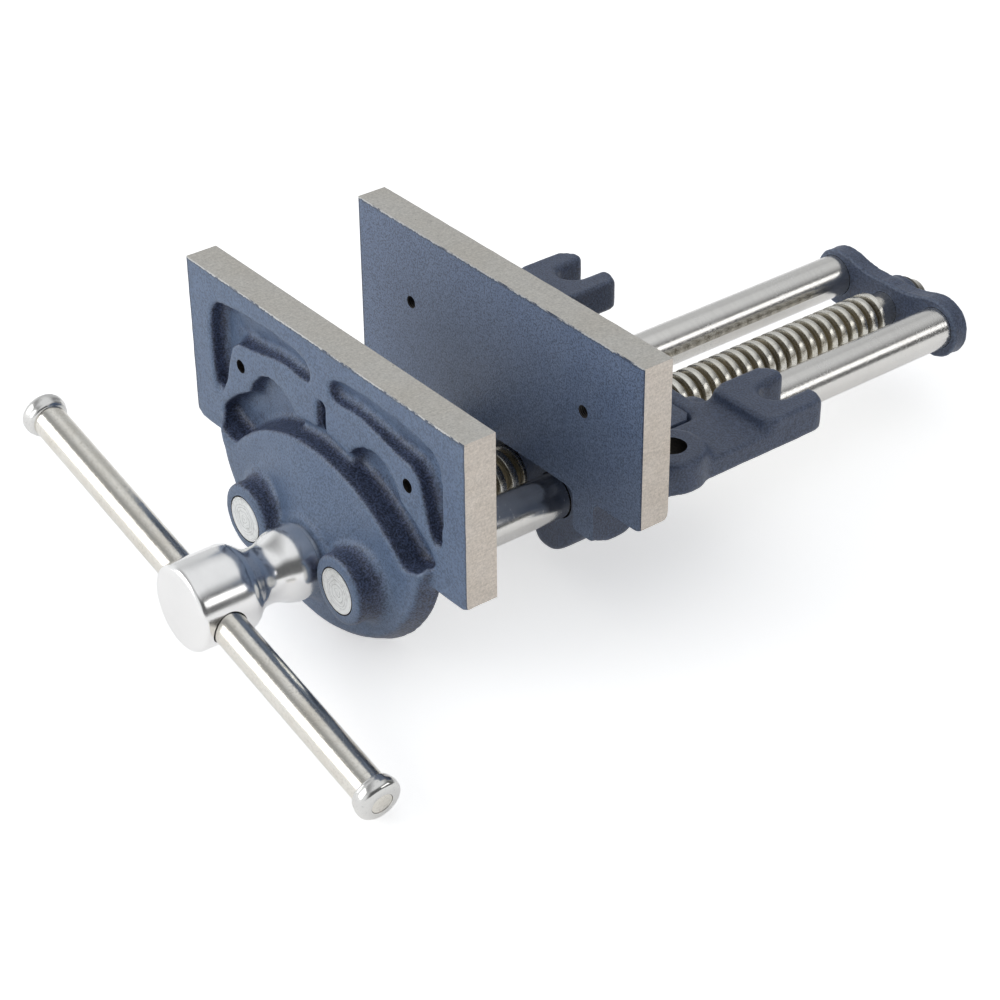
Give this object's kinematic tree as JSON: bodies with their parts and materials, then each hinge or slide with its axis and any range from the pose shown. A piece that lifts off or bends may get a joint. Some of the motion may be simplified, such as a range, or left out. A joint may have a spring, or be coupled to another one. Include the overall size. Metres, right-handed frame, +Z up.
{
  "type": "woodworking vise",
  "caption": "Plain-screw woodworking vise: cast moving jaw on two guide rods, wound by a screw with a sliding bar, against a fixed jaw that bolts under a bench edge.",
  "frame": {"origin": "midway between the two bench bolt holes of the fixed casting, on the plane that meets the underside of the bench", "axes": "+X along the jaws, +Y along the screw away from the user, +Z up"},
  "size_m": [0.2303, 0.3819, 0.1227],
  "materials": {
    "casting_paint": "slate blue textured enamel over cast iron, machined edges bare",
    "ground_steel": "ground and polished",
    "screw_steel": "turned, greased in the thread",
    "bright_plate": "polished and plated",
    "dark_steel": "oiled black"
  },
  "bodies": {
    "fixed_body": {"rear_jaw": "casting_paint", "screw_nut": "casting_paint", "nut_screws": "dark_steel", "nut_washers": "dark_steel"},
    "moving_jaw": {"front_jaw": "casting_paint", "guide_rod_left": "ground_steel", "guide_rod_right": "ground_steel", "rod_front_pins": "dark_steel", "rod_rear_pins": "dark_steel", "end_plate": "casting_paint", "thrust_washer": "dark_steel"},
    "screw": {"main_screw": "screw_steel", "screw_hub": "bright_plate", "hub_pin": "dark_steel", "tail_washer": "dark_steel", "tail_pin": "dark_steel"},
    "bar": {"tommy_bar": "ground_steel", "bar_cap_left": "bright_plate", "bar_cap_right": "bright_plate"}
  },
  "joints": [
    {"name": "jaw_slide", "type": "slide", "parent": "fixed_body", "child": "moving_jaw", "axis": [0, -1, 0], "range_m": [-0.067, 0.1326]},
    {"name": "screw_turn", "type": "hinge", "parent": "moving_jaw", "child": "screw", "pos_m": [0, -0.1245, -0.0344], "axis": [0, 1, 0], "continuous": true},
    {"name": "bar_slide", "type": "slide", "parent": "screw", "child": "bar", "axis": [0.9741, 0, -0.2261], "range_m": [-0.0844, 0.09]}
  ],
  "couplings": [
    {"joint": "screw_turn", "follows": "jaw_slide", "rad_per_m": -1047.2}
  ]
}
